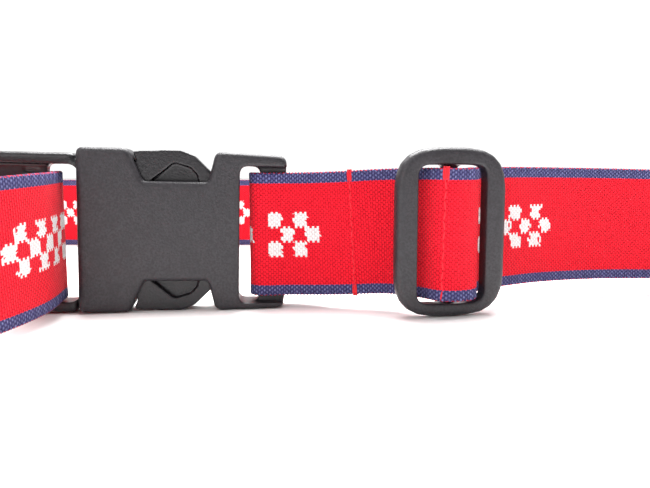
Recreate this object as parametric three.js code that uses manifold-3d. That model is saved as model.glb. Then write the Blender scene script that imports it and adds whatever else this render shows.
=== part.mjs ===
// A luggage strap closed into a loop and standing on its edge: 38 mm webbing, a side-release
// buckle and a slide. Millimetres, +Z up. +X runs along the front of the loop from the insert to
// the socket and the slide, and +Y from the front of the loop to its back. The origin is under
// the middle of the whole strap, on the surface that it stands on.
import * as THREE from "three";
import { mergeVertices } from "three/addons/utils/BufferGeometryUtils.js";
import Module from "manifold-3d";

const wasm = await Module();
wasm.setup();

// Driving dimensions
const CLEARANCE = 0.3; // between pieces that touch
const PLAN_CENTRE = { x: 0, y: 55.97 }; // middle of the strap, measured from the front plane

const WEB_WIDTH = 39;
const WEB_THICKNESS = 1.4;
const LAYER_PITCH = WEB_THICKNESS + CLEARANCE + 0.05; // middle to middle of the doubled layers
const BAR_WRAP_RADIUS = 3.7; // middle of the webbing round the socket's bar
const HEM_LENGTH = 18;

// At the mouth. The buckle leans to the right, onto the foot of its tower.
const BUCKLE = {
  x: -75.08,
  y: 1.52,
  z: 25.5,
  yaw: THREE.MathUtils.degToRad(8),
  lean: THREE.MathUtils.degToRad(1.25),
};
const BUCKLE_THICKNESS = 12.5;

const COLLAR = { half: 25, length: 15.1, foot: 19.5 }; // foot: where its slope meets the waist
const WAIST = { half: 15.4, end: 38.6 };
const TOWER = { half: 24.6, start: 41.0 };
const SOCKET_END = { half: 23.8, length: 62.8 };
const SOCKET_CAVITY = { half: 21.6, halfDepth: 4.35, length: 40.4 };
const SOCKET_SLOT = { start: 48.3, end: 54.8, foot: -22.3, top: 20.4 };
const SOCKET_BAR_THICKNESS = 4.4;

const RAIL = { foot: -25.2, top: 23.2, thickness: 9, end: -36 }; // the insert hangs low in the mouth
const NEAR_SLOT = { start: -9, end: 0.3 };
const FAR_SLOT = { start: -31, end: -27 };
const SLOT_FOOT = -22;
const SLOT_TOP = 19.8;
const MOUTH_GAP = 0.35;
const LOCKING_BAR_THICKNESS = 4;
const END_BAR_THICKNESS = 6;
const INSERT_BASE = { half: 21.2, thickness: 8, end: 3.2 };
const INSERT_BLOCK = { half: 11, end: 8 };
const TONGUE = { half: 4, thickness: 4.4, end: 37, tip: 2.4 };
const ARM_THICKNESS = 7.8;
const THUMB_RECESS_DEPTH = 1.9;

const SLIDE = { x: 36.9, y: -5.5, z: 25.15, yaw: THREE.MathUtils.degToRad(12), lean: 0 };
// The slide's top and bottom bow out, from shoulder at its sides to half the height in the middle.
const SLIDE_SIZE = { length: 34.2, height: 50.3, shoulder: 24.3, thickness: 5, radius: 12 };
const SLIDE_WINDOW = { length: 21.2, foot: -20.9, top: 19.9, radius: 3 };
const CENTRE_BAR = { width: 5, front: 0.5, back: 2.5, radius: 0.9 };

const THREAD = { width: 1.0, thickness: 0.35 };

const CURVE_SEGMENTS = 4;
const BEVEL_SEGMENTS = 3;

// Materials
const plastic = new THREE.MeshStandardMaterial({ color: 0x2b2b2e, roughness: 0.45, metalness: 0 });
const webbing = new THREE.MeshStandardMaterial({ color: 0xd8101e, roughness: 0.85, metalness: 0 });
const thread = new THREE.MeshStandardMaterial({ color: 0xb00c18, roughness: 0.8, metalness: 0 });

// A closed geometry as a solid for joining and cutting.
function toSolid(geometry) {
  const bare = geometry.clone();
  bare.deleteAttribute("normal");
  bare.deleteAttribute("uv");
  const merged = mergeVertices(bare, 1e-4);
  return new wasm.Manifold(
    new wasm.Mesh({
      numProp: 3,
      vertProperties: new Float32Array(merged.attributes.position.array),
      triVerts: new Uint32Array(merged.index.array),
    }),
  );
}

// A solid as a geometry for a mesh.
function toGeometry(solid) {
  const mesh = solid.getMesh();
  const geometry = new THREE.BufferGeometry();
  geometry.setAttribute("position", new THREE.BufferAttribute(mesh.vertProperties, 3));
  geometry.setIndex(new THREE.BufferAttribute(mesh.triVerts, 1));
  const flat = geometry.toNonIndexed();
  flat.computeVertexNormals();
  return flat;
}

// Draws a closed polygon into a path or shape. Each corner is [x, y] or [x, y, radius].
function drawRounded(path, corners) {
  const count = corners.length;
  corners.forEach(([x, y, radius = 0], i) => {
    const here = new THREE.Vector2(x, y);
    const [beforeX, beforeY] = corners[(i + count - 1) % count];
    const [afterX, afterY] = corners[(i + 1) % count];
    const toBefore = new THREE.Vector2(beforeX, beforeY).sub(here).normalize();
    const toAfter = new THREE.Vector2(afterX, afterY).sub(here).normalize();
    const halfAngle = Math.acos(THREE.MathUtils.clamp(toBefore.dot(toAfter), -1, 1)) / 2;
    const reach = radius / Math.tan(halfAngle);
    const enter = here.clone().addScaledVector(toBefore, reach);
    const leave = here.clone().addScaledVector(toAfter, reach);
    if (i === 0) path.moveTo(enter.x, enter.y);
    else path.lineTo(enter.x, enter.y);
    if (radius > 0) path.quadraticCurveTo(x, y, leave.x, leave.y);
  });
  path.closePath();
  return path;
}

// The corners of a rectangle between two opposite corners, all with one radius.
function rectangle(x0, y0, x1, y1, radius = 0) {
  return [
    [x0, y0, radius],
    [x1, y0, radius],
    [x1, y1, radius],
    [x0, y1, radius],
  ];
}

// A plate whose outline lies in X and Z, centred on Y, with rounded edges of the given bevel.
function plate(corners, thickness, bevel = 0, holes = []) {
  const shape = drawRounded(new THREE.Shape(), corners);
  holes.forEach((hole) => shape.holes.push(drawRounded(new THREE.Path(), hole)));
  const geometry = new THREE.ExtrudeGeometry(shape, {
    depth: thickness - 2 * bevel,
    curveSegments: CURVE_SEGMENTS,
    bevelEnabled: bevel > 0,
    bevelThickness: bevel,
    bevelSize: bevel,
    bevelOffset: -bevel,
    bevelSegments: BEVEL_SEGMENTS,
  });
  geometry.translate(0, 0, bevel - thickness / 2);
  geometry.rotateX(Math.PI / 2);
  return toSolid(geometry);
}

// A box between two corners.
function block([x0, y0, z0], [x1, y1, z1]) {
  const geometry = new THREE.BoxGeometry(x1 - x0, y1 - y0, z1 - z0);
  geometry.translate((x0 + x1) / 2, (y0 + y1) / 2, (z0 + z1) / 2);
  return toSolid(geometry);
}

// Cuts the same pocket into the front and the back of a plate, down to a core's thickness.
function thinned(solid, [x0, x1], [z0, z1], core, outer) {
  const front = block([x0, -outer, z0], [x1, -core / 2, z1]);
  const back = block([x0, core / 2, z0], [x1, outer, z1]);
  return solid.subtract(front).subtract(back);
}

function mesh(name, solid, material) {
  const made = new THREE.Mesh(toGeometry(solid), material);
  made.name = name;
  return made;
}

// The buckle's socket: a collar, a waist that leaves the arms' thumb pads bare, and a tower
// that carries the web slot and the web bar.
function buckleSocket() {
  const upper = [
    [0, COLLAR.half, 2.4],
    [COLLAR.length, COLLAR.half, 1.8],
    [COLLAR.foot, WAIST.half, 1],
    [WAIST.end, WAIST.half, 1],
    [TOWER.start, TOWER.half, 2],
    [SOCKET_END.length, SOCKET_END.half, 3],
  ];
  const lower = upper.map(([x, z, radius]) => [x, -z, radius]).reverse();
  const slot = rectangle(SOCKET_SLOT.start, SOCKET_SLOT.foot, SOCKET_SLOT.end, SOCKET_SLOT.top, 2);
  const body = plate([...upper, ...lower], BUCKLE_THICKNESS, 1.4);
  const cavity = block(
    [-1, -SOCKET_CAVITY.halfDepth, -SOCKET_CAVITY.half],
    [SOCKET_CAVITY.length, SOCKET_CAVITY.halfDepth, SOCKET_CAVITY.half],
  );
  const barSpan = [SOCKET_SLOT.end - 1.6, SOCKET_END.length + 1];
  return thinned(
    body.subtract(cavity).subtract(plate(slot, 2 * BUCKLE_THICKNESS)),
    barSpan,
    [SOCKET_SLOT.foot, SOCKET_SLOT.top],
    SOCKET_BAR_THICKNESS,
    BUCKLE_THICKNESS,
  );
}

// The buckle's insert without its arms: rails, locking bar, end bar, base and guide tongue.
function insertFrame() {
  const outline = [
    [-MOUTH_GAP, RAIL.foot],
    [-MOUTH_GAP, RAIL.top],
    [RAIL.end, RAIL.top, 4],
    [RAIL.end, RAIL.foot, 4],
  ].reverse();
  const halfBase = INSERT_BASE.thickness / 2;
  const base = block(
    [-MOUTH_GAP - 0.5, -halfBase, -INSERT_BASE.half],
    [INSERT_BASE.end, halfBase, INSERT_BASE.half],
  );
  const centreBlock = block(
    [INSERT_BASE.end - 1, -halfBase, -INSERT_BLOCK.half],
    [INSERT_BLOCK.end, halfBase, INSERT_BLOCK.half],
  );
  const tongue = plate(
    [
      [NEAR_SLOT.end + 1, -TONGUE.half],
      [TONGUE.end - 3, -TONGUE.half],
      [TONGUE.end, -TONGUE.tip, 1],
      [TONGUE.end, TONGUE.tip, 1],
      [TONGUE.end - 3, TONGUE.half],
      [NEAR_SLOT.end + 1, TONGUE.half],
    ],
    TONGUE.thickness,
    0.6,
  );
  const nearSlot = [
    [NEAR_SLOT.start, SLOT_FOOT, 1.6],
    [NEAR_SLOT.end, SLOT_FOOT, 3.2],
    [NEAR_SLOT.end, SLOT_TOP, 3.2],
    [NEAR_SLOT.start, SLOT_TOP, 1.6],
  ];
  const farSlot = rectangle(FAR_SLOT.start, SLOT_FOOT, FAR_SLOT.end, SLOT_TOP, 1.6);
  const heights = [SLOT_FOOT, SLOT_TOP];
  let frame = plate(outline, RAIL.thickness, 0.9).add(base);
  frame = frame.subtract(plate(nearSlot, 2 * RAIL.thickness));
  frame = frame.subtract(plate(farSlot, 2 * RAIL.thickness));
  const lockingSpan = [FAR_SLOT.end - 1, NEAR_SLOT.start + 1];
  frame = thinned(frame, lockingSpan, heights, LOCKING_BAR_THICKNESS, RAIL.thickness);
  const endSpan = [RAIL.end - 1, FAR_SLOT.start + 1];
  frame = thinned(frame, endSpan, heights, END_BAR_THICKNESS, RAIL.thickness);
  const barFront = -LOCKING_BAR_THICKNESS / 2;
  const mouldMark = block([-15.8, barFront - 1, 16.9], [-10.6, barFront + 0.6, 18.6]);
  return frame.subtract(mouldMark).add(centreBlock).add(tongue);
}

// A release arm: a slim beam inside the collar, a hook behind the collar's edge, and a thumb
// pad with a recess in each face. side is 1 for the upper arm and -1 for the lower one.
function releaseArm(side) {
  const root = INSERT_BASE.end + CLEARANCE;
  const profile = [
    [root, 14],
    [12, 15],
    [18, 14.6, 2],
    [26, 12, 3],
    [36, 12.4, 2],
    [39.8, 14, 1.5],
    [39.7, 18.2, 1.5],
    [34.6, 23.2, 2.5],
    [30.5, 24.7, 3],
    [26, 24.7, 4],
    [16.1, 24.2],
    [17.5, 20.9],
    [10, 20.3],
    [root, 18.8],
  ];
  const recess = [
    [18.4, 12.8],
    [36, 12.8],
    [35.6, 17.2, 1.6],
    [33.4, 19.4, 1.6],
    [28.4, 20.9, 1.6],
  ];
  const mirrored = (corners) => {
    const turned = corners.map(([x, z, radius]) => [x, side * z, radius]);
    return side > 0 ? turned : turned.reverse();
  };
  const pad = plate(mirrored(profile), ARM_THICKNESS, 0.7);
  const cutter = plate(mirrored(recess), THUMB_RECESS_DEPTH * 2);
  const face = ARM_THICKNESS / 2;
  return pad.subtract(cutter.translate(0, -face, 0)).subtract(cutter.translate(0, face, 0));
}

// The slide: a rounded frame with one window and a set-back bar across the middle of it.
function slideFrame() {
  const halfLength = SLIDE_SIZE.length / 2;
  const halfHeight = SLIDE_SIZE.height / 2;
  const halfWindow = SLIDE_WINDOW.length / 2;
  const { shoulder, radius } = SLIDE_SIZE;
  const outline = [
    [-halfLength, -shoulder, radius],
    [0, -halfHeight],
    [halfLength, -shoulder, radius],
    [halfLength, shoulder, radius],
    [0, halfHeight],
    [-halfLength, shoulder, radius],
  ];
  const ring = plate(outline, SLIDE_SIZE.thickness, 1.3, [
    rectangle(-halfWindow, SLIDE_WINDOW.foot, halfWindow, SLIDE_WINDOW.top, SLIDE_WINDOW.radius),
  ]);
  const halfBar = CENTRE_BAR.width / 2;
  const section = drawRounded(
    new THREE.Shape(),
    rectangle(-halfBar, CENTRE_BAR.front, halfBar, CENTRE_BAR.back, CENTRE_BAR.radius),
  );
  const barFoot = SLIDE_WINDOW.foot - 2;
  const barLength = SLIDE_WINDOW.top + 2 - barFoot;
  const bar = new THREE.ExtrudeGeometry(section, {
    depth: barLength,
    curveSegments: CURVE_SEGMENTS,
    bevelEnabled: false,
  });
  bar.translate(0, 0, barFoot);
  return ring.add(toSolid(bar));
}

// Places on the webbing's route: on the floor plan, or at a height in the buckle's or slide's plan.
function plan(x, y, z) {
  return new THREE.Vector3(x, y, z);
}

function inFrame(frame, along, behind, z) {
  const place = new THREE.Vector3(along, behind, 0).applyAxisAngle(
    new THREE.Vector3(0, 0, 1),
    frame.yaw,
  );
  return place.add(new THREE.Vector3(frame.x, frame.y, z));
}
const atBuckle = (along, behind, z) => inFrame(BUCKLE, along, behind, z);
const atSlide = (along, behind, z) => inFrame(SLIDE, along, behind, z);

// The outer layer, from the front of the socket's bar to the slide, round the loop to the
// insert's locking bar, and out along the free tail. z is the middle of the webbing.
const BAR_CENTRE = 56;
const outerRoute = [
  atBuckle(BAR_CENTRE, -BAR_WRAP_RADIUS, 23.4),
  atBuckle(60, -BAR_WRAP_RADIUS, 23.4),
  atBuckle(64.5, -3.6, 23.4),
  plan(-4, 6.3, 23.5),
  plan(2, 5.4, 23.7),
  plan(8.5, 4.6, 24),
  plan(15, 3.7, 24.4),
  plan(20.5, 2.2, 24.6),
  atSlide(-10.2, 6.6, 24.7),
  atSlide(-7.7, 2.9, 24.75),
  atSlide(-5.9, -0.5, 24.75),
  atSlide(-4.3, -3.2, 24.7),
  atSlide(-1.6, -4.5, 24.65),
  atSlide(2, -4.6, 24.65),
  atSlide(5.4, -3.6, 24.7),
  atSlide(7.9, -1, 24.8),
  atSlide(9.1, 3, 24.85),
  atSlide(11, 6.4, 24.9),
  atSlide(14.5, 9.2, 25),
  plan(53.7, 9.9, 25.1),
  plan(59.4, 13.4, 25.2),
  plan(69, 19.1, 25.2),
  plan(80.5, 24.2, 25.1),
  plan(96.8, 29, 24.9),
  plan(115.4, 32, 24.5),
  plan(140, 34.6, 24),
  plan(170, 37.8, 23.2),
  plan(200, 43.5, 22.2),
  plan(228, 54.5, 21.2),
  plan(249, 77, 20.3),
  plan(259.3, 110, 20),
  plan(253, 145, 19.7),
  plan(232, 170, 19.55),
  plan(200, 180, 19.55),
  plan(160, 181, 19.55),
  plan(100, 181, 19.55),
  plan(50, 181, 19.55),
  plan(0, 181, 19.55),
  plan(-50, 181, 19.55),
  plan(-100, 181, 19.55),
  plan(-160, 181, 19.55),
  plan(-200, 179.5, 19.55),
  plan(-231, 168, 19.55),
  plan(-252, 142, 19.6),
  plan(-259.3, 106, 20),
  plan(-250, 70, 20.4),
  plan(-229, 42.5, 21.4),
  plan(-200, 24.5, 22.4),
  plan(-165, 13, 23.2),
  plan(-135, 8, 23.7),
  atBuckle(-41, 6.3, 23.9),
  atBuckle(-34, 5.4, 23.9),
  atBuckle(-28, 4.4, 23.9),
  atBuckle(-22, 3.3, 23.9),
  atBuckle(-15, 3.05, 23.9),
  atBuckle(-10.4, 3.1, 23.85),
  atBuckle(-7.4, 2.4, 23.85),
  atBuckle(-5.6, 0.6, 23.85),
  atBuckle(-5.2, -1.6, 23.8),
  atBuckle(-5.3, -4.2, 23.7),
  plan(-78.6, -10, 23.5),
  plan(-77.8, -19, 23.2),
  plan(-79.4, -30, 22.6),
  plan(-83.6, -41, 21.7),
  plan(-91.5, -51, 20.8),
  plan(-104, -59, 20.1),
  plan(-122, -64.5, 19.7),
  plan(-148, -67, 19.55),
  plan(-178, -67.5, 19.55),
  plan(-205, -67.5, 19.55),
  plan(-222, -67.5, 19.55),
];
const STITCH_BY_SOCKET = 5; // index of the route's point with the first row of stitching
const STITCH_BY_SLIDE = 11.4;
const DOUBLED_END = 18; // index of the route's point where the inner layer stops

const outerCurve = new THREE.CatmullRomCurve3(outerRoute, false, "centripetal");

// The unit vectors along a route, up its width and out of its outer face at one place.
function axesAt(curve, t) {
  const along = curve.getTangent(t);
  const up = new THREE.Vector3(0, 0, 1).addScaledVector(along, -along.z).normalize();
  const out = new THREE.Vector3().crossVectors(along, up);
  return { place: curve.getPoint(t), along, up, out };
}

// The inner layer lies one pitch inside the outer one, and opens out to pass behind the bar.
function innerRoute() {
  const last = outerRoute.length - 1;
  return outerRoute.slice(0, DOUBLED_END + 1).map((point, i) => {
    const nearBar = THREE.MathUtils.smoothstep(STITCH_BY_SOCKET - i, 0, STITCH_BY_SOCKET - 2);
    const gap = THREE.MathUtils.lerp(LAYER_PITCH, 2 * BAR_WRAP_RADIUS, nearBar);
    return point.clone().addScaledVector(axesAt(outerCurve, i / last).out, -gap);
  });
}

// One whole route: inner layer from its cut end, round the socket's bar, then the outer layer.
const innerPoints = innerRoute().reverse();
const quarter = BAR_WRAP_RADIUS * Math.SQRT1_2;
const barWrap = [
  atBuckle(BAR_CENTRE - quarter, quarter, 23.4),
  atBuckle(BAR_CENTRE - BAR_WRAP_RADIUS, 0, 23.4),
  atBuckle(BAR_CENTRE - quarter, -quarter, 23.4),
];
const route = new THREE.CatmullRomCurve3(
  [...innerPoints, ...barWrap, ...outerRoute],
  false,
  "centripetal",
);
const ROUTE_LAST = route.points.length - 1;
const OUTER_START = innerPoints.length + barWrap.length;
const INNER_STITCH = DOUBLED_END - STITCH_BY_SOCKET;

// A strip of webbing between two of the route's points, with a rectangular section that stays
// upright, and half the touching clearance left free at each end.
function webStrip(from, to, stepLength) {
  const middles = [];
  for (let span = from; span < to; span += 1) {
    const spanLength = route.points[span].distanceTo(route.points[span + 1]);
    const steps = Math.max(1, Math.round(spanLength / stepLength));
    for (let k = 0; k < steps; k += 1) middles.push(axesAt(route, (span + k / steps) / ROUTE_LAST));
  }
  middles.push(axesAt(route, to / ROUTE_LAST));
  const trim = CLEARANCE / 2;
  middles[0].place.addScaledVector(middles[0].along, trim);
  middles.at(-1).place.addScaledVector(middles.at(-1).along, -trim);
  return sweptStrip(middles, WEB_WIDTH, WEB_THICKNESS);
}

// Sweeps an upright rectangle through a row of placed axes and closes both ends.
function sweptStrip(middles, width, thickness) {
  const corners = [
    [-0.5, -0.5],
    [0.5, -0.5],
    [0.5, 0.5],
    [-0.5, 0.5],
  ];
  const positions = middles.flatMap(({ place, up, out }) =>
    corners.flatMap(([outward, upward]) =>
      place
        .clone()
        .addScaledVector(out, outward * thickness)
        .addScaledVector(up, upward * width)
        .toArray(),
    ),
  );
  const faces = [0, 1, 2, 0, 2, 3];
  for (let i = 0; i < middles.length - 1; i += 1) {
    for (let k = 0; k < 4; k += 1) {
      const next = (k + 1) % 4;
      const [a, b, c, d] = [4 * i + k, 4 * i + next, 4 * i + 4 + next, 4 * i + 4 + k];
      faces.push(a, c, b, a, d, c);
    }
  }
  const end = 4 * (middles.length - 1);
  faces.push(end, end + 2, end + 1, end, end + 3, end + 2);
  const geometry = new THREE.BufferGeometry();
  geometry.setAttribute("position", new THREE.Float32BufferAttribute(positions, 3));
  geometry.setIndex(faces);
  return toSolid(geometry);
}

// A row of stitching: a thin band of thread right round one or two layers of webbing.
function stitchRow(index, layers, towardsInside) {
  const axes = axesAt(route, index / ROUTE_LAST);
  const depth = WEB_THICKNESS + (layers - 1) * LAYER_PITCH + 2 * CLEARANCE;
  const height = WEB_WIDTH + 2 * CLEARANCE;
  const grow = 2 * THREAD.thickness;
  const middle = axes.place.clone().addScaledVector(axes.out, -towardsInside);
  const basis = new THREE.Matrix4().makeBasis(axes.along, axes.out.clone().negate(), axes.up);
  const box = (length, deep, tall) =>
    toSolid(new THREE.BoxGeometry(length, deep, tall).applyMatrix4(basis.clone().setPosition(middle)));
  return box(THREAD.width, depth + grow, height + grow).subtract(
    box(THREAD.width + 2, depth, height),
  );
}

// The hem's row of stitching: a thin band along the outer face, short of both selvedges.
function hemStitchRow(index) {
  const axes = axesAt(route, index / ROUTE_LAST);
  const lift = WEB_THICKNESS / 2 + CLEARANCE + THREAD.thickness / 2;
  const basis = new THREE.Matrix4().makeBasis(axes.along, axes.out.clone().negate(), axes.up);
  basis.setPosition(axes.place.addScaledVector(axes.out, lift));
  const band = new THREE.BoxGeometry(THREAD.width, THREAD.thickness, WEB_WIDTH - 2);
  return toSolid(band.applyMatrix4(basis));
}

// The hem: the tail's end folded back on its inner side.
function tailHem() {
  const end = axesAt(route, 1);
  const middles = [0, 0.5, 1].map((share) => {
    const back = end.place
      .clone()
      .addScaledVector(end.along, -CLEARANCE / 2 - share * HEM_LENGTH)
      .addScaledVector(end.out, -LAYER_PITCH);
    return { ...end, place: back };
  });
  return sweptStrip(middles.reverse(), WEB_WIDTH, WEB_THICKNESS);
}

function placed(frame, ...meshes) {
  const group = new THREE.Group();
  group.position.set(frame.x, frame.y, frame.z);
  group.rotation.set(0, frame.lean, frame.yaw, "ZYX");
  group.add(...meshes);
  return group;
}

// The webbing, cut into strips that meet end to end. at() turns an index of the outer route
// into one of the whole route.
const at = (outerIndex) => OUTER_START + outerIndex;
const strips = [
  ["web_end_layer_in_slide", 0, INNER_STITCH, 2.2],
  ["web_end_layer_by_socket", INNER_STITCH, innerPoints.length - 1, 3],
  ["web_fold_on_socket_bar", innerPoints.length - 1, OUTER_START, 1.2],
  ["web_outer_layer_by_socket", OUTER_START, at(STITCH_BY_SOCKET), 3],
  ["web_outer_layer_in_slide", at(STITCH_BY_SOCKET), at(20), 2.2],
  ["web_front_right", at(20), at(26), 6],
  ["web_right_bend", at(26), at(34), 9],
  ["web_back_right", at(34), at(37), 20],
  ["web_back_left", at(37), at(40), 20],
  ["web_left_bend", at(40), at(48), 9],
  ["web_front_left", at(48), at(52), 6],
  ["web_fold_on_locking_bar", at(52), at(60), 1.6],
  ["web_tail", at(60), at(70), 5],
];

const HEM_STITCH_SHARE = 0.7; // of the tail's last span
const strap = new THREE.Group();
strap.add(
  placed(
    BUCKLE,
    mesh("buckle_socket", buckleSocket(), plastic),
    mesh("insert_frame", insertFrame(), plastic),
    mesh("upper_release_arm", releaseArm(1), plastic),
    mesh("lower_release_arm", releaseArm(-1), plastic),
  ),
  placed(SLIDE, mesh("slide_frame", slideFrame(), plastic)),
  ...strips.map(([name, from, to, step]) => mesh(name, webStrip(from, to, step), webbing)),
  mesh("web_tail_hem", tailHem(), webbing),
  mesh("stitches_by_socket", stitchRow(at(STITCH_BY_SOCKET), 2, LAYER_PITCH / 2), thread),
  mesh("stitches_by_slide", stitchRow(at(STITCH_BY_SLIDE), 2, LAYER_PITCH / 2), thread),
  mesh("stitches_on_tail_hem", hemStitchRow(ROUTE_LAST - 1 + HEM_STITCH_SHARE), thread),
);
strap.position.set(-PLAN_CENTRE.x, -PLAN_CENTRE.y, 0);

export default strap;
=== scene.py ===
import math

import bmesh
import bpy
import numpy as np
from mathutils import Matrix, Vector


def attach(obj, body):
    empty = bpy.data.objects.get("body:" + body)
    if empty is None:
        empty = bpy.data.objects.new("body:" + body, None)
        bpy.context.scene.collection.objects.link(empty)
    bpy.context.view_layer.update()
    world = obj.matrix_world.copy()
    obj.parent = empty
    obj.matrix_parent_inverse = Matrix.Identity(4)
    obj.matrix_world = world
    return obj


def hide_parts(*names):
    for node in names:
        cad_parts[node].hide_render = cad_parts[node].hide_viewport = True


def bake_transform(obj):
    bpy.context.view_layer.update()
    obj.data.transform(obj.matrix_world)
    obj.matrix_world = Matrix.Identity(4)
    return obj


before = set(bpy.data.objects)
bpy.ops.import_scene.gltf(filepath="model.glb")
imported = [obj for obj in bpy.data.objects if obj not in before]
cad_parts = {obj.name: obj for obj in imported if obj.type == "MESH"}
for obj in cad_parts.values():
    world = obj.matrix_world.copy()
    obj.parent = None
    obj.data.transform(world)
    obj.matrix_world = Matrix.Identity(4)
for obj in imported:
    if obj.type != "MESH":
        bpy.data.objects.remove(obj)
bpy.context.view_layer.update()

# Everything is laid out in millimetres in the plan of the strap, and goes into the row frame,
# in metres, by way of PLAN_TO_ROW.
PLAN_CENTRE_Y = 55.97
PLAN_TO_ROW = Matrix.Scale(0.001, 4) @ Matrix.Translation((0, -PLAN_CENTRE_Y, 0))

# Webbing
WEB_WIDTH = 39.0
WEB_THICKNESS = 1.4
LAYER_PITCH = 1.75
BAR_WRAP_RADIUS = 3.7
BAR_CENTRE = 56.0
NAVY_BORDER = 3.5
HEM_LENGTH = 18.0

# Woven blocks of checks: (half-length, half-height), and how the short ones are spaced
LONG_BLOCK = (18.3, 6.95)
SHORT_BLOCK = (8.2, 7.0)
LONG_BLOCK_CHECKS = 8
SHORT_BLOCK_CHECKS = 4
ROWS_OF_CHECKS = 3
SHORT_BLOCKS_IN_RUN = 6
SHORT_BLOCK_PITCH = 21.0
SHORT_TO_LONG_BLOCK = 88.0

# Buckle and slide: origin and turn about Z in the plan
BUCKLE_PLAN = Matrix.Translation((-75.08, 1.52, 25.5)) @ Matrix.Rotation(math.radians(8), 4, "Z")
BUCKLE = BUCKLE_PLAN @ Matrix.Rotation(math.radians(1.25), 4, "Y")
SLIDE = Matrix.Translation((36.9, -5.5, 25.15)) @ Matrix.Rotation(math.radians(12), 4, "Z")
BUCKLE_THICKNESS = 12.5
SOCKET_CAVITY_DEPTH = 8.7
SOCKET_CAVITY_HEIGHT = 43.2
SOCKET_SLOT_FOOT = -22.3
SOCKET_SLOT_TOP = 20.4
RAIL_THICKNESS = 9.0
RAIL_FOOT = -25.2
RAIL_TOP = 23.2
INSERT_SLOT_FOOT = -22.0
INSERT_SLOT_TOP = 19.8
ARM_THICKNESS = 7.8
ARM_WEB_DEPTH = 1.9  # how deep the recess in each face of an arm is
SLIDE_WIDTH = 34.2
SLIDE_HEIGHT = 50.3
SLIDE_SHOULDER = 24.3
SLIDE_THICKNESS = 5.0
CUT_REACH = 9  # cutters go from -CUT_REACH to CUT_REACH, past both faces of every plate

# Camera, in the plan
CAMERA_PLACE = (0.0, -190.0, 42.4)
CAMERA_PITCH = 6.4
CAMERA_LENS = 34.6

RIM_ROUNDING = 1.6
SLIDE_RIM_ROUNDING = 1.8
VOXEL = 0.4
ARM_VOXEL = 0.3

# Stitching
THREAD_RADIUS = 0.28
STITCHES_IN_ROW = 13
STITCH_LEAN = 0.14
EDGE_LOOP_PITCH = 0.46
STITCH_SINK = 0.06  # how far the stitches sink into the weave

FLOOR_HALF_SIZE = 6


# ---------------------------------------------------------------- solids in millimetres

def rounded(corners, steps=5):
    """The points of a polygon of (x, z) or (x, z, radius) with its corners rounded."""
    points = []
    count = len(corners)
    for i, corner in enumerate(corners):
        here = Vector(corner[:2])
        radius = corner[2] if len(corner) > 2 else 0
        if not radius:
            points.append(here)
            continue
        to_before = (Vector(corners[i - 1][:2]) - here).normalized()
        to_after = (Vector(corners[(i + 1) % count][:2]) - here).normalized()
        reach = radius / math.tan(to_before.angle(to_after) / 2)
        enter = here + to_before * reach
        leave = here + to_after * reach
        for k in range(steps + 1):
            t = k / steps
            points.append(enter * (1 - t) ** 2 + here * 2 * t * (1 - t) + leave * t * t)
    return points


def rectangle(x0, z0, x1, z1, radius=0):
    return [(x0, z0, radius), (x1, z0, radius), (x1, z1, radius), (x0, z1, radius)]


def mesh_object(name, build):
    """A new object from a bmesh that build fills."""
    bm = bmesh.new()
    build(bm)
    bmesh.ops.recalc_face_normals(bm, faces=bm.faces)
    data = bpy.data.meshes.new(name)
    bm.to_mesh(data)
    bm.free()
    made = bpy.data.objects.new(name, data)
    bpy.context.scene.collection.objects.link(made)
    return made


def plate(corners, front, back, name="plate"):
    """A plate with its outline in X and Z, from y = front to y = back."""
    outline = rounded(corners)

    def build(bm):
        face = bm.faces.new([bm.verts.new((p.x, front, p.y)) for p in outline])
        grown = bmesh.ops.extrude_face_region(bm, geom=[face])
        moved = [g for g in grown["geom"] if isinstance(g, bmesh.types.BMVert)]
        bmesh.ops.translate(bm, vec=(0, back - front, 0), verts=moved)

    return mesh_object(name, build)


def block(low, high):
    return plate(rectangle(low[0], low[2], high[0], high[2]), low[1], high[1])


def settle(obj):
    """Applies the object's modifiers."""
    graph = bpy.context.evaluated_depsgraph_get()
    data = bpy.data.meshes.new_from_object(obj.evaluated_get(graph))
    obj.modifiers.clear()
    obj.data = data
    return obj


def combine(target, operation, *others):
    """Joins the others to the target, or cuts them out of it, and removes them."""
    for other in others:
        modifier = target.modifiers.new("combine", "BOOLEAN")
        modifier.operation = operation
        modifier.solver = "EXACT"
        modifier.object = other
        settle(target)
        bpy.data.objects.remove(other)
    return target


def round_rims(obj, width):
    """Rounds the two rims of a plate, where its faces meet its sides."""
    bevel = obj.modifiers.new("bevel", "BEVEL")
    bevel.width = width
    bevel.segments = 4
    bevel.limit_method = "ANGLE"
    bevel.angle_limit = math.radians(60)
    bevel.use_clamp_overlap = False
    return settle(obj)


def soften(obj, rounds, voxel=VOXEL):
    """Remeshes a solid finely and smooths it, which rounds its edges as a mould does."""
    remesh = obj.modifiers.new("remesh", "REMESH")
    remesh.mode = "VOXEL"
    remesh.voxel_size = voxel
    smooth = obj.modifiers.new("smooth", "SMOOTH")
    smooth.factor = 0.5
    smooth.iterations = rounds
    return settle(obj)


def finish_piece(obj, name, placing, material):
    """Puts a piece built in millimetres in its place in the row frame."""
    if min(obj.dimensions) < 0.5:
        raise ValueError(f"{name} came out empty or flat: {tuple(obj.dimensions)}")
    obj.name = name
    obj.data.name = name
    obj.data.transform(PLAN_TO_ROW @ placing)
    obj.data.polygons.foreach_set("use_smooth", [True] * len(obj.data.polygons))
    obj.data.materials.clear()
    obj.data.materials.append(material)
    return obj


# ---------------------------------------------------------------- materials

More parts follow.
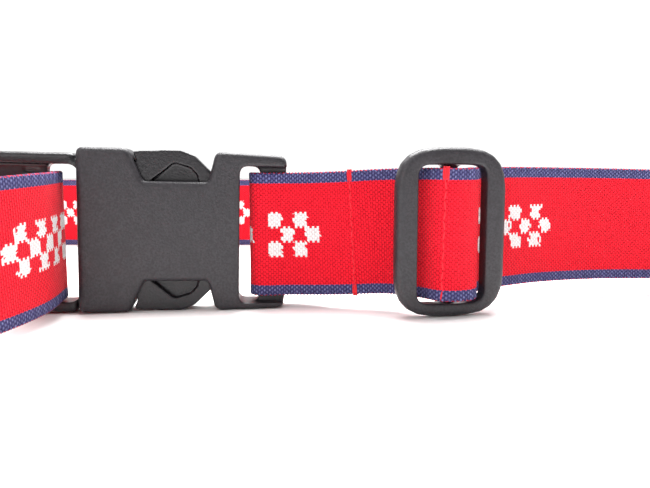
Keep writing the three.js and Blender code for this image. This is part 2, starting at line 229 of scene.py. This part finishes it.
class Nodes:
    """A small builder for a material's node tree."""

    def __init__(self, name):
        self.material = bpy.data.materials.new(name)
        self.material.use_nodes = True
        self.tree = self.material.node_tree
        self.shader = self.tree.nodes["Principled BSDF"]

    def add(self, kind, inputs=(), **settings):
        node = self.tree.nodes.new(kind)
        for key, value in settings.items():
            setattr(node, key, value)
        for key, value in dict(inputs).items():
            self.put(node.inputs[key], value)
        return node

    def put(self, socket, value):
        if isinstance(value, bpy.types.NodeSocket):
            self.tree.links.new(value, socket)
        else:
            socket.default_value = value

    def math(self, operation, *values):
        inputs = {i: value for i, value in enumerate(values)}
        return self.add("ShaderNodeMath", inputs, operation=operation).outputs[0]

    def mix(self, share, low, high):
        node = self.add("ShaderNodeMix", data_type="RGBA")
        self.put(node.inputs["Factor"], share)
        self.put(node.inputs["A"], low)
        self.put(node.inputs["B"], high)
        return node.outputs["Result"]

    def smooth_step(self, value, low, high):
        node = self.add("ShaderNodeMapRange", interpolation_type="SMOOTHSTEP")
        self.put(node.inputs["Value"], value)
        node.inputs["From Min"].default_value = low
        node.inputs["From Max"].default_value = high
        return node.outputs["Result"]

    def noise(self, scale, detail=2.0, vector=None):
        node = self.add("ShaderNodeTexNoise", {"Scale": scale, "Detail": detail})
        where = vector
        if where is None:
            where = self.add("ShaderNodeTexCoord").outputs["Object"]
        self.put(node.inputs["Vector"], where)
        return node.outputs["Fac"]

    def bump(self, height, strength, distance):
        node = self.add("ShaderNodeBump", {"Strength": strength, "Distance": distance})
        self.put(node.inputs["Height"], height)
        self.put(self.shader.inputs["Normal"], node.outputs["Normal"])


def plastic_material(name, colour, worn, roughness):
    """Moulded plastic with a fine spark-eroded grain and faint paler patches."""
    n = Nodes(name)
    patches = n.math("MULTIPLY", n.noise(300, 2), n.smooth_step(n.noise(1500, 3), 0.3, 0.7))
    n.put(n.shader.inputs["Base Color"], n.mix(n.math("MULTIPLY", patches, 2), (*colour, 1), (*worn, 1)))
    n.shader.inputs["Roughness"].default_value = roughness
    n.shader.inputs["Specular IOR Level"].default_value = 0.42
    n.bump(n.noise(1700, 3), 0.55, 0.00022)
    return n.material


def thread_material():
    n = Nodes("red_thread")
    n.put(
        n.shader.inputs["Base Color"],
        n.mix(n.noise(1500, 2), THREAD_DARK, THREAD_BRIGHT),
    )
    n.shader.inputs["Roughness"].default_value = 0.7
    n.bump(n.noise(4000, 2), 0.4, 0.0001)
    return n.material


# Colours of the threads; the gap colours are painted shade for the weave's hollows and seams, and the pale
# navy for the tops of lumps is a painted highlight
THREAD_DARK = (0.6, 0.004, 0.014, 1)
THREAD_BRIGHT = (0.85, 0.012, 0.03, 1)
WEFT_RED = (0.55, 0.006, 0.02, 1)
RED = (0.9, 0.012, 0.03, 1)
# painted shade: the darker red, navy and white put in the weave's holes and seams
RED_IN_SHADE = (0.36, 0.0, 0.008, 1)
NAVY = (0.075, 0.07, 0.19, 1)
NAVY_IN_SHADE = (0.02, 0.018, 0.07, 1)
# painted highlight: the pale navy on the tops of the navy lumps
NAVY_CREST_HIGHLIGHT = (0.22, 0.24, 0.44, 1)
WHITE = (0.85, 0.82, 0.82, 1)
WHITE_IN_SHADE = (0.7, 0.55, 0.57, 1)
CELL = (0.78, 1.3)  # pitch of the weave's lumps along the webbing and across it


def webbing_material():
    """Jacquard webbing: lumps in staggered columns, navy borders, and blocks of white checks. The UV
    map weave holds millimetres along and across; long_block and short_block hold a block's own place."""
    n = Nodes("jacquard_webbing")

    def uv(name):
        node = n.add("ShaderNodeUVMap", uv_map=name)
        split = n.add("ShaderNodeSeparateXYZ", {"Vector": node.outputs["UV"]})
        return split.outputs["X"], split.outputs["Y"]

    along, across = uv("weave")
    wander = n.noise(0.35, 2, n.add("ShaderNodeUVMap", uv_map="weave").outputs["UV"])
    sway = n.math("MULTIPLY", n.math("SUBTRACT", wander, 0.5), 0.5)
    column = n.math("DIVIDE", n.math("ADD", along, sway), CELL[0])
    column_number = n.math("FLOOR", column)
    offset = n.math("MULTIPLY", n.math("MODULO", n.math("ADD", column_number, 4000), 2), 0.5)
    row = n.math("ADD", n.math("DIVIDE", across, CELL[1]), offset)
    in_column = n.math("SUBTRACT", n.math("FRACT", n.math("ADD", column, 4000)), 0.5)
    in_row = n.math("SUBTRACT", n.math("FRACT", n.math("ADD", row, 100)), 0.5)
    spread = n.math(
        "ADD",
        n.math("MULTIPLY", n.math("MULTIPLY", in_column, in_column), 2.6),
        n.math("MULTIPLY", n.math("MULTIPLY", in_row, in_row), 3.8),
    )
    lump = n.math("SUBTRACT", 1.0, spread)
    cell = n.add("ShaderNodeCombineXYZ", {"X": column_number, "Y": n.math("FLOOR", row)})
    chance = n.add(
        "ShaderNodeTexWhiteNoise", {"Vector": cell.outputs["Vector"]}, noise_dimensions="2D"
    ).outputs["Value"]
    # painted shade: dark holes where four lumps meet, and much fainter seams between two of them, darkening
    # each lump towards its edges; each lump also gets a random tone of its own
    holes = n.smooth_step(lump, -0.55, 0.66)
    seams = n.math("ADD", n.math("MULTIPLY", n.smooth_step(lump, 0.1, 0.6), 0.26), 0.62)
    weave_shade_and_tone = n.math("MULTIPLY", holes, n.math("ADD", seams, n.math("MULTIPLY", chance, 0.12)))

    # Blocks of checks, stepped nearly to whole lumps of the weave, with slanting thread ends
    def figure(name, halves, inside):
        x, y = uv(name)
        back_x = n.math("MULTIPLY", in_column, 0.75 * CELL[0] / halves[0])
        slant = n.math("MULTIPLY", in_row, 0.5 * CELL[0] / halves[0])
        back_y = n.math("MULTIPLY", in_row, 0.7 * CELL[1] / halves[1])
        ragged = n.math("MULTIPLY", n.math("SUBTRACT", chance, 0.5), 0.1)
        stepped = n.math("ADD", n.math("SUBTRACT", x, back_x), n.math("ADD", slant, ragged))
        return inside(stepped, n.math("SUBTRACT", y, back_y))

    def checks_inside(columns):
        def inside(x, y):
            reach = n.math("MAXIMUM", n.math("ABSOLUTE", x), n.math("ABSOLUTE", y))
            column = n.math("FLOOR", n.math("MULTIPLY", n.math("ADD", x, 1.0), columns / 2))
            row = n.math("FLOOR", n.math("MULTIPLY", n.math("ADD", y, 1.0), ROWS_OF_CHECKS / 2))
            parity = n.math("MODULO", n.math("ADD", column, row), 2)
            every_other = n.math("LESS_THAN", parity, 0.5)
            return n.math("MULTIPLY", n.math("LESS_THAN", reach, 1.0), every_other)

        return inside

    white = n.math(
        "MAXIMUM",
        figure("long_block", LONG_BLOCK, checks_inside(LONG_BLOCK_CHECKS)),
        figure("short_block", SHORT_BLOCK, checks_inside(SHORT_BLOCK_CHECKS)),
    )
    edge = n.math("SUBTRACT", WEB_WIDTH / 2, n.math("ABSOLUTE", across))
    step = n.math("MULTIPLY", n.math("SUBTRACT", lump, 0.5), 0.35)
    navy = n.math("LESS_THAN", n.math("ADD", edge, step), NAVY_BORDER)
    # each colour darkened by painted shade in the holes and seams
    red = n.mix(weave_shade_and_tone, RED_IN_SHADE, RED)
    colour = n.mix(white, red, n.mix(weave_shade_and_tone, WHITE_IN_SHADE, WHITE))
    # painted highlight on the tops of the navy lumps, stronger on some lumps at random
    crest_highlights = n.math("MULTIPLY", n.smooth_step(lump, 0.62, 0.98), n.math("ADD", chance, 0.35))
    blue = n.mix(n.math("MULTIPLY", crest_highlights, 0.6), n.mix(weave_shade_and_tone, NAVY_IN_SHADE, NAVY), NAVY_CREST_HIGHLIGHT)
    colour = n.mix(navy, colour, blue)
    weft = n.math(
        "MULTIPLY",
        n.math("LESS_THAN", edge, 0.42),
        n.math("GREATER_THAN", n.math("SINE", n.math("MULTIPLY", along, 4.4)), -0.1),
    )
    colour = n.mix(n.math("MULTIPLY", weft, 0.85), colour, WEFT_RED)
    n.put(n.shader.inputs["Base Color"], colour)
    n.shader.inputs["Roughness"].default_value = 0.78
    n.shader.inputs["Specular IOR Level"].default_value = 0.12
    n.shader.inputs["Sheen Weight"].default_value = 0.04
    fibres = n.noise(9, 3, n.add("ShaderNodeUVMap", uv_map="weave").outputs["UV"])
    height = n.math("ADD", lump, n.math("MULTIPLY", fibres, 0.35))
    n.bump(height, 0.7, 0.00045)
    return n.material


dark_plastic = plastic_material("dark_plastic", (0.017, 0.015, 0.018), (0.030, 0.027, 0.032), 0.42)
glossy_plastic = plastic_material("glossy_plastic", (0.010, 0.009, 0.011), (0.018, 0.016, 0.019), 0.3)
red_thread = thread_material()
webbing = webbing_material()


# ---------------------------------------------------------------- buckle

def mirrored_outline(upper):
    return [*upper, *[(x, -z, r) for x, z, r in reversed(upper)]]


def buckle_socket():
    """The female half: a waisted housing, open at x = 0, and a frame with the webbing's bar."""
    half = BUCKLE_THICKNESS / 2
    deep, high = SOCKET_CAVITY_DEPTH / 2, SOCKET_CAVITY_HEIGHT / 2
    foot, top = SOCKET_SLOT_FOOT, SOCKET_SLOT_TOP
    outline = mirrored_outline([
        (0, 25, 2.2), (15.1, 25, 2.4), (19.5, 15.4, 1.2), (38.6, 15.4, 1.2), (41, 24.6, 2.6), (62.8, 23.8, 3),
    ])
    body = round_rims(plate(outline, -half, half), RIM_ROUNDING)
    cuts = [
        block((-2, -deep, -high), (40.4, deep, high)),
        plate(rectangle(48.3, foot, 54.8, top, 2.6), -CUT_REACH, CUT_REACH),
        block((53.2, -CUT_REACH, foot), (65, -2.2, top)),
        block((53.2, 2.2, foot), (65, CUT_REACH, top)),
    ]
    combine(body, "DIFFERENCE", *cuts)
    return soften(body, 8)


def insert_frame():
    """The male half without its arms: two rails, the locking bars and the guide tongue."""
    half = RAIL_THICKNESS / 2
    outline = [(-0.35, RAIL_FOOT), (-0.35, RAIL_TOP), (-36, RAIL_TOP, 4), (-36, RAIL_FOOT, 4)]
    body = round_rims(plate(outline, -half, half), RIM_ROUNDING)
    combine(body, "UNION", block((-0.85, -4, -21.2), (3.2, 4, 21.2)))
    foot, top = INSERT_SLOT_FOOT, INSERT_SLOT_TOP
    web_slot = [(-9, foot, 1.6), (0.3, foot, 3.4), (0.3, top, 3.4), (-9, top, 1.6)]
    cuts = [
        plate(web_slot, -CUT_REACH, CUT_REACH),
        plate(rectangle(-31, foot, -27, top, 1.6), -CUT_REACH, CUT_REACH),
        block((-28, -CUT_REACH, foot), (-8, -2, top)),
        block((-28, 2, foot), (-8, CUT_REACH, top)),
        block((-38, -CUT_REACH, foot), (-30, -3, top)),
        block((-38, 3, foot), (-30, CUT_REACH, top)),
        plate(rectangle(-15.8, 16.9, -10.6, 18.6, 0.5), -3, -1.4),
    ]
    combine(body, "DIFFERENCE", *cuts)
    tongue = plate(
        [(1.3, -4), (34, -4), (37, -2.4, 1), (37, 2.4, 1), (34, 4), (1.3, 4)], -2.2, 2.2
    )
    combine(body, "UNION", block((2.2, -4, -11), (8, 4, 11)), tongue)
    return soften(body, 6)


def release_arm(side):
    """One arm with its hooked pad: side is 1 for the upper arm and -1 for the lower one."""
    root = 3.5
    profile = [
        (root, 14), (12, 15), (18, 14.6, 2), (26, 12, 3), (36, 12.4, 2), (39.8, 14, 1.5), (39.7, 18.2, 1.5),
        (34.6, 23.2, 2.5), (30.5, 24.7, 3), (26, 24.7, 4), (16.1, 24.2, 0.6), (17.5, 20.9), (10, 20.3),
        (root, 18.8),
    ]
    recess = [(18.4, 12.8), (36, 12.8), (35.6, 17.2, 1.8), (33.4, 19.6, 2.4), (28.4, 21.1, 2.2)]

    def turned(corners):
        return [(x, side * z, *radius) for x, z, *radius in corners]

    half = ARM_THICKNESS / 2
    body = plate(turned(profile), -half, half)
    front = plate(turned(recess), -CUT_REACH, -half + ARM_WEB_DEPTH)
    back = plate(turned(recess), half - ARM_WEB_DEPTH, CUT_REACH)
    combine(body, "DIFFERENCE", front, back)
    return soften(body, 9, ARM_VOXEL)


def slide_frame():
    """The slide: a frame with bowed ends and one upright bar in its window."""
    side, crown, shoulder = SLIDE_WIDTH / 2, SLIDE_HEIGHT / 2, SLIDE_SHOULDER
    outline = [
        (-side, -shoulder, 12), (0, -crown, 60), (side, -shoulder, 12),
        (side, shoulder, 12), (0, crown, 60), (-side, shoulder, 12),
    ]
    half = SLIDE_THICKNESS / 2
    body = round_rims(plate(outline, -half, half), SLIDE_RIM_ROUNDING)
    window = plate(rectangle(-10.6, -20.9, 10.6, 19.9, 3.6), -CUT_REACH, CUT_REACH)
    combine(body, "DIFFERENCE", window)
    combine(body, "UNION", block((-2.5, 0.5, -22), (2.5, 2.5, 21)))
    return soften(body, 14)


hardware = [
    (buckle_socket(), "buckle_socket_body", BUCKLE, dark_plastic, "socket", "buckle_socket"),
    (insert_frame(), "buckle_insert_body", BUCKLE, glossy_plastic, "insert", "insert_frame"),
    (release_arm(1), "upper_arm_body", BUCKLE, glossy_plastic, "upper_arm", "upper_release_arm"),
    (release_arm(-1), "lower_arm_body", BUCKLE, glossy_plastic, "lower_arm", "lower_release_arm"),
    (slide_frame(), "slide_body", SLIDE, dark_plastic, "slide", "slide_frame"),
]
for solid, name, placing, material, body, node in hardware:
    finish_piece(solid, name, placing, material)
    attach(solid, body)
    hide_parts(node)


# ---------------------------------------------------------------- the webbing's route

def at_buckle(along, behind, z):
    place = BUCKLE_PLAN @ Vector((along, behind, 0))
    return Vector((place.x, place.y, z))


def at_slide(along, behind, z):
    place = SLIDE @ Vector((along, behind, 0))
    return Vector((place.x, place.y, z))


def plan(x, y, z):
    return Vector((x, y, z))


OUTER_ROUTE = [
    at_buckle(BAR_CENTRE, -BAR_WRAP_RADIUS, 23.4),
    at_buckle(60, -BAR_WRAP_RADIUS, 23.4),
    at_buckle(64.5, -3.6, 23.4),
    plan(-4, 6.3, 23.5),
    plan(2, 5.4, 23.7),
    plan(8.5, 4.6, 24),
    plan(15, 3.7, 24.4),
    plan(20.5, 2.2, 24.6),
    at_slide(-10.2, 6.6, 24.7),
    at_slide(-7.7, 2.9, 24.75),
    at_slide(-5.9, -0.5, 24.75),
    at_slide(-4.3, -3.2, 24.7),
    at_slide(-1.6, -4.5, 24.65),
    at_slide(2, -4.6, 24.65),
    at_slide(5.4, -3.6, 24.7),
    at_slide(7.9, -1, 24.8),
    at_slide(9.1, 3, 24.85),
    at_slide(11, 6.4, 24.9),
    at_slide(14.5, 9.2, 25),
    plan(53.7, 9.9, 25.1),
    plan(59.4, 13.4, 25.2),
    plan(69, 19.1, 25.2),
    plan(80.5, 24.2, 25.1),
    plan(96.8, 29, 24.9),
    plan(115.4, 32, 24.5),
    plan(140, 34.6, 24),
    plan(170, 37.8, 23.2),
    plan(200, 43.5, 22.2),
    plan(228, 54.5, 21.2),
    plan(249, 77, 20.3),
    plan(259.3, 110, 20),
    plan(253, 145, 19.7),
    plan(232, 170, 19.55),
    plan(200, 180, 19.55),
    *[plan(x, 181, 19.55) for x in (160, 100, 50, 0, -50, -100, -160)],
    plan(-200, 179.5, 19.55),
    plan(-231, 168, 19.55),
    plan(-252, 142, 19.6),
    plan(-259.3, 106, 20),
    plan(-250, 70, 20.4),
    plan(-229, 42.5, 21.4),
    plan(-200, 24.5, 22.4),
    plan(-165, 13, 23.2),
    plan(-135, 8, 23.7),
    at_buckle(-41, 6.3, 23.9),
    at_buckle(-34, 5.4, 23.9),
    at_buckle(-28, 4.4, 23.9),
    at_buckle(-22, 3.3, 23.9),
    at_buckle(-15, 3.05, 23.9),
    at_buckle(-10.4, 3.1, 23.85),
    at_buckle(-7.4, 2.4, 23.85),
    at_buckle(-5.6, 0.6, 23.85),
    at_buckle(-5.2, -1.6, 23.8),
    at_buckle(-5.3, -4.2, 23.7),
    plan(-78.6, -10, 23.5),
    plan(-77.8, -19, 23.2),
    plan(-79.4, -30, 22.6),
    plan(-83.6, -41, 21.7),
    plan(-91.5, -51, 20.8),
    plan(-104, -59, 20.1),
    plan(-122, -64.5, 19.7),
    plan(-148, -67, 19.55),
    plan(-178, -67.5, 19.55),
    plan(-205, -67.5, 19.55),
    plan(-222, -67.5, 19.55),
]
# Places on the route, counted in its points
STITCH_BY_SOCKET = 5
STITCH_BY_SLIDE = 11.4
DOUBLED_END = 18
UNDER_SLIDE = 8  # behind the slide's left bar, where the cut between two pieces can't be seen
PAST_SLIDE = 20
FRONT_RIGHT_END = 27
BACK_MIDDLE = 37
FRONT_LEFT_START = 44
TAIL_START = 60


def spline(points, t):
    """A place on the centripetal Catmull-Rom curve through the points; t counts the points."""
    i = min(int(t), len(points) - 2)
    p1, p2 = points[i], points[i + 1]
    p0 = points[i - 1] if i else p1 + (p1 - p2)
    p3 = points[i + 2] if i + 2 < len(points) else p2 + (p2 - p1)
    d1, d2, d3 = ((b - a).length ** 0.5 for a, b in ((p0, p1), (p1, p2), (p2, p3)))
    m1 = ((p1 - p0) / d1 - (p2 - p0) / (d1 + d2) + (p2 - p1) / d2) * d2
    m2 = ((p2 - p1) / d2 - (p3 - p1) / (d2 + d3) + (p3 - p2) / d3) * d2
    s = t - i
    return (
        p1 * (2 * s**3 - 3 * s**2 + 1)
        + m1 * (s**3 - 2 * s**2 + s)
        + p2 * (3 * s**2 - 2 * s**3)
        + m2 * (s**3 - s**2)
    )


def axes_at(points, t):
    """The place, and the unit vectors along the route, up its width and out of its outer face."""
    step = 0.01
    low, high = max(t - step, 0), min(t + step, len(points) - 1)
    along = (spline(points, high) - spline(points, low)).normalized()
    up = (Vector((0, 0, 1)) - along * along.z).normalized()
    return spline(points, t), along, up, along.cross(up)


def smooth(x):
    x = min(max(x, 0), 1)
    return x * x * (3 - 2 * x)


def inner_route():
    """The inner layer lies one pitch inside the outer one, and opens out to pass the bar."""
    found = []
    for i in range(DOUBLED_END + 1):
        near_bar = smooth((STITCH_BY_SOCKET - i) / (STITCH_BY_SOCKET - 2))
        gap = LAYER_PITCH + (2 * BAR_WRAP_RADIUS - LAYER_PITCH) * near_bar
        found.append(OUTER_ROUTE[i] - axes_at(OUTER_ROUTE, i)[3] * gap)
    return found


quarter = BAR_WRAP_RADIUS * math.sqrt(0.5)
INNER = inner_route()[::-1]
ROUTE = [
    *INNER,
    at_buckle(BAR_CENTRE - quarter, quarter, 23.4),
    at_buckle(BAR_CENTRE - BAR_WRAP_RADIUS, 0, 23.4),
    at_buckle(BAR_CENTRE - quarter, -quarter, 23.4),
    *OUTER_ROUTE,
]
OUTER_START = len(INNER) + 3
SAMPLES_PER_SPAN = 40


def running_lengths():
    """The length of the webbing up to each fine step of the route."""
    count = (len(ROUTE) - 1) * SAMPLES_PER_SPAN
    places = [spline(ROUTE, k / SAMPLES_PER_SPAN) for k in range(count + 1)]
    steps = [0.0, *[(b - a).length for a, b in zip(places, places[1:])]]
    return np.cumsum(steps), np.arange(count + 1) / SAMPLES_PER_SPAN


LENGTHS, PARAMETERS = running_lengths()


def length_to(index):
    return float(np.interp(index, PARAMETERS, LENGTHS))


def parameter_at(length):
    return float(np.interp(length, LENGTHS, PARAMETERS))


def outer(index):
    return OUTER_START + index


# Where the blocks of checks are: long ones, each after a run of short ones
by_slide = length_to(outer(PAST_SLIDE)) + 0.9
on_tail = length_to(outer(TAIL_START)) + 7.5
on_back = length_to(outer(BACK_MIDDLE)) + 153 + SHORT_TO_LONG_BLOCK
spacing = (on_back - by_slide) / 3
LONG_BLOCK_PLACES = [by_slide, by_slide + spacing, by_slide + 2 * spacing, on_back, on_tail]
SHORT_BLOCK_PLACES = [
    place - SHORT_TO_LONG_BLOCK - SHORT_BLOCK_PITCH * number
    for place in LONG_BLOCK_PLACES
    for number in range(SHORT_BLOCKS_IN_RUN)
]


def nearest(places, length):
    return min(places, key=lambda place: abs(place - length))


# ---------------------------------------------------------------- webbing

FINE_STEP = 0.25
COARSE_STEP = 1.6
ACROSS = 20
SELVEDGE_BUMP = 0.11
SELVEDGE_PITCH = 1.02


def section(width, thickness):
    """The points round the webbing's section, as (outward, upward), from the outer face's foot."""
    half, deep = width / 2, thickness / 2
    face = [-half + 0.35 + (width - 0.7) * k / ACROSS for k in range(ACROSS + 1)]
    outer_face = [(deep, up) for up in face]
    inner_face = [(-deep, up) for up in reversed(face)]
    return [
        *outer_face,
        (deep * 0.7, half - 0.08),
        (0, half),
        (-deep * 0.7, half - 0.08),
        *inner_face,
        (-deep * 0.7, -half + 0.08),
        (0, -half),
        (deep * 0.7, -half + 0.08),
    ]


def ribbon(name, start, end, step, bumpy=True):
    """A piece of webbing between two lengths of the route, with its UV maps."""
    outline = section(WEB_WIDTH - 2 * SELVEDGE_BUMP, WEB_THICKNESS)
    count = len(outline)
    lengths = np.linspace(start, end, max(2, int(round((end - start) / step)) + 1))
    vertices = []
    for length in lengths:
        place, along, up, out = axes_at(ROUTE, parameter_at(length))
        wave = math.sin(2 * math.pi * length / SELVEDGE_PITCH) if bumpy else 0
        for outward, upward in outline:
            near_edge = max(0.0, (abs(upward) - 16) / 3)
            bump = SELVEDGE_BUMP * wave * near_edge * math.copysign(1, upward)
            swell = 1 + 0.16 * near_edge * (wave if outward > 0 else -wave)
            vertices.append(place + out * (outward * swell) + up * (upward + bump))
    faces = []
    for i in range(len(lengths) - 1):
        for k in range(count):
            a, b = i * count + k, i * count + (k + 1) % count
            faces.append((a, b, b + count, a + count))
    faces.append(tuple(range(count))[::-1])
    faces.append(tuple((len(lengths) - 1) * count + k for k in range(count)))
    data = bpy.data.meshes.new(name)
    data.from_pydata([v[:] for v in vertices], [], faces)
    ups = np.array([upward for _, upward in outline])
    corner_vertices = np.zeros(len(data.loops), int)
    data.loops.foreach_get("vertex_index", corner_vertices)
    corner_lengths = lengths[corner_vertices // count]
    corner_ups = ups[corner_vertices % count]
    corner_faces = np.zeros(len(data.loops), int)
    for polygon in data.polygons:
        corner_faces[polygon.loop_start : polygon.loop_start + polygon.loop_total] = polygon.index
    # each face keeps to one block, so that none is stretched between two of them
    rings = np.minimum(corner_faces // count, len(lengths) - 2)

    def add_map(map_name, x, y):
        layer = data.uv_layers.new(name=map_name)
        layer.data.foreach_set("uv", np.stack([x, y], 1).ravel().astype(np.float32))

    add_map("weave", corner_lengths, corner_ups)
    for map_name, places, (long_half, high_half) in (
        ("long_block", LONG_BLOCK_PLACES, LONG_BLOCK),
        ("short_block", SHORT_BLOCK_PLACES, SHORT_BLOCK),
    ):
        centres = np.array([nearest(places, length) for length in lengths])
        add_map(map_name, (corner_lengths - centres[rings]) / long_half, corner_ups / high_half)
    made = bpy.data.objects.new(name, data)
    bpy.context.scene.collection.objects.link(made)
    return finish_piece(made, name, Matrix.Identity(4), webbing)


def joined(name, *objects):
    """Several objects as one mesh object."""
    first = objects[0]
    with bpy.context.temp_override(
        active_object=first, selected_editable_objects=list(objects)
    ):
        bpy.ops.object.join()
    first.name = name
    return first


inner_stitch = length_to(DOUBLED_END - STITCH_BY_SOCKET)
inner_under_slide = length_to(DOUBLED_END - UNDER_SLIDE)
outer_stitch = length_to(outer(STITCH_BY_SOCKET))
outer_under_slide = length_to(outer(UNDER_SLIDE))
past_slide = length_to(outer(PAST_SLIDE))
front_right_end = length_to(outer(FRONT_RIGHT_END))
back_middle = length_to(outer(BACK_MIDDLE))
front_left_start = length_to(outer(FRONT_LEFT_START))
web_end = length_to(len(ROUTE) - 1)

# On the socket's side: round its bar, and from past the slide to the middle of the back
by_socket = ribbon("webbing_by_socket", inner_stitch, outer_stitch, FINE_STEP)
to_the_right = ribbon("webbing_front_right", past_slide, front_right_end, FINE_STEP)
right_bend = ribbon("webbing_right_bend", front_right_end, back_middle, COARSE_STEP, False)
for piece in (by_socket, to_the_right, right_bend):
    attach(piece, "socket")
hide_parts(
    "web_end_layer_by_socket", "web_fold_on_socket_bar", "web_outer_layer_by_socket"
)
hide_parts("web_front_right")
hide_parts("web_right_bend", "web_back_right")

# Through the slide: one piece on each side of its left bar
into_slide = joined(
    "webbing_into_slide",
    ribbon("layer", inner_under_slide, inner_stitch, FINE_STEP),
    ribbon("layer", outer_stitch, outer_under_slide, FINE_STEP),
)
out_of_slide = joined(
    "webbing_out_of_slide",
    ribbon("layer", 0, inner_under_slide, FINE_STEP),
    ribbon("layer", outer_under_slide, past_slide, FINE_STEP),
)
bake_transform(into_slide)
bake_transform(out_of_slide)
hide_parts("web_end_layer_in_slide")
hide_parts("web_outer_layer_in_slide")

# On the insert's side
back_left = ribbon("webbing_left_bend", back_middle, front_left_start, COARSE_STEP, False)
front_left = ribbon("webbing_front_left", front_left_start, web_end, FINE_STEP)
for piece in (back_left, front_left):
    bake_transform(piece)
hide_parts("web_back_left", "web_left_bend")
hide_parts("web_front_left", "web_fold_on_locking_bar", "web_tail")

def tail_hem():
    """The tail's end turned under: a short straight layer on its inner side."""
    made = ribbon("webbing_tail_hem", web_end - HEM_LENGTH, web_end - 0.2, FINE_STEP)
    outward = axes_at(ROUTE, len(ROUTE) - 1)[3]
    made.data.transform(Matrix.Translation(outward * -(LAYER_PITCH + 0.1) * 0.001))
    return made


hem = tail_hem()
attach(hem, "insert")
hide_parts("web_tail_hem")


# ---------------------------------------------------------------- stitching

def stitch(bm, start, end):
    """One short stitch: a thread between two points, thickest in its middle."""
    axis = end - start
    turn = Vector((0, 0, 1)).rotation_difference(axis).to_matrix().to_4x4()
    shape = Matrix.Diagonal((THREAD_RADIUS, THREAD_RADIUS, axis.length / 2 + THREAD_RADIUS, 1))
    place = Matrix.Translation((start + end) / 2) @ turn @ shape
    bmesh.ops.create_uvsphere(bm, u_segments=10, v_segments=8, radius=1, matrix=place)


def stitch_row(name, index, edges=(), loops=3):
    """A row across both layers at a place on the route, with loops over the given edges."""
    front = WEB_THICKNESS / 2 - STITCH_SINK
    back = -LAYER_PITCH - front
    place, along, up, out = axes_at(ROUTE, index)
    half = WEB_WIDTH / 2 - 0.5
    pitch = 2 * half / STITCHES_IN_ROW

    def build(bm):
        for face in (front, back):
            for k in range(STITCHES_IN_ROW):
                low = -half + (k + 0.12) * pitch
                high = low + pitch * 0.76
                lean = along * (STITCH_LEAN if k % 2 else -STITCH_LEAN)
                stitch(bm, place + out * face + up * low + lean, place + out * face + up * high - lean)
        for side in edges:
            edge = up * side * (WEB_WIDTH / 2 + 0.12)
            for k in range(loops):
                shift = along * (k - (loops - 1) / 2) * EDGE_LOOP_PITCH
                foot = up * side * (WEB_WIDTH / 2 - 3.3 - 0.5 * (k % 2))
                stitch(bm, place + edge + out * front + shift, place + edge + out * back + shift)
                for face in (front, back):
                    lifted = out * (face + math.copysign(0.12, face))
                    stitch(bm, place + edge + lifted + shift, place + foot + lifted + shift)

    made = mesh_object(name, build)
    return finish_piece(made, name, Matrix.Identity(4), red_thread)


row_by_socket = stitch_row("stitch_row_by_socket", outer(STITCH_BY_SOCKET), (1, -1))
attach(row_by_socket, "socket")
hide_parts("stitches_by_socket")
row_by_slide = stitch_row("stitch_row_by_slide", outer(STITCH_BY_SLIDE), (1,), 4)
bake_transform(row_by_slide)
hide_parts("stitches_by_slide")
row_on_hem = stitch_row("stitch_row_on_hem", parameter_at(web_end - HEM_LENGTH + 3))
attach(row_on_hem, "insert")
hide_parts("stitches_on_tail_hem")


# ---------------------------------------------------------------- stage, light and camera

def floor():
    def build(bm):
        bmesh.ops.create_grid(bm, x_segments=1, y_segments=1, size=FLOOR_HALF_SIZE)

    made = mesh_object("floor", build)
    n = Nodes("white_floor")
    n.shader.inputs["Base Color"].default_value = (0.92, 0.915, 0.91, 1)
    n.shader.inputs["Roughness"].default_value = 0.6
    n.shader.inputs["Specular IOR Level"].default_value = 0.2
    made.data.materials.append(n.material)


def area_light(name, place, aim, size, power):
    light = bpy.data.lights.new(name, "AREA")
    light.shape = "DISK"
    light.size = size
    light.energy = power
    made = bpy.data.objects.new(name, light)
    made.location = place
    made.rotation_euler = (Vector(aim) - Vector(place)).to_track_quat("-Z", "Y").to_euler()
    bpy.context.scene.collection.objects.link(made)


floor()
area_light("softbox_above", (0.05, 0.45, 1.2), (0, 0, 0), 1.3, 60)
area_light("softbox_front", (-0.5, -1.2, 0.7), (0, 0, 0), 0.9, 6)


def studio_world():
    """White behind and above, dimmer on the camera's side, so that dark faces stay dark."""
    world = bpy.data.worlds.new("studio")
    bpy.context.scene.world = world
    world.use_nodes = True
    nodes, links = world.node_tree.nodes, world.node_tree.links
    direction = nodes.new("ShaderNodeTexCoord")
    split = nodes.new("ShaderNodeSeparateXYZ")
    links.new(direction.outputs["Generated"], split.inputs["Vector"])
    brightness = nodes.new("ShaderNodeMapRange")
    settings = {"From Min": -0.8, "From Max": 0.3, "To Min": 0.38, "To Max": 1.1}
    for key, value in settings.items():
        brightness.inputs[key].default_value = value
    links.new(split.outputs["Y"], brightness.inputs["Value"])
    background = nodes["Background"]
    background.inputs["Color"].default_value = (1, 1, 1, 1)
    links.new(brightness.outputs["Result"], background.inputs["Strength"])


studio_world()

camera_data = bpy.data.cameras.new("camera")
camera_data.sensor_width = 36
camera_data.lens = CAMERA_LENS
camera_data.clip_start = 0.01
camera = bpy.data.objects.new("camera", camera_data)
camera.location = PLAN_TO_ROW @ Vector(CAMERA_PLACE)
camera.rotation_euler = (math.radians(90 - CAMERA_PITCH), 0, 0)
bpy.context.scene.collection.objects.link(camera)
bpy.context.scene.camera = camera
bpy.context.scene.view_settings.view_transform = "Standard"
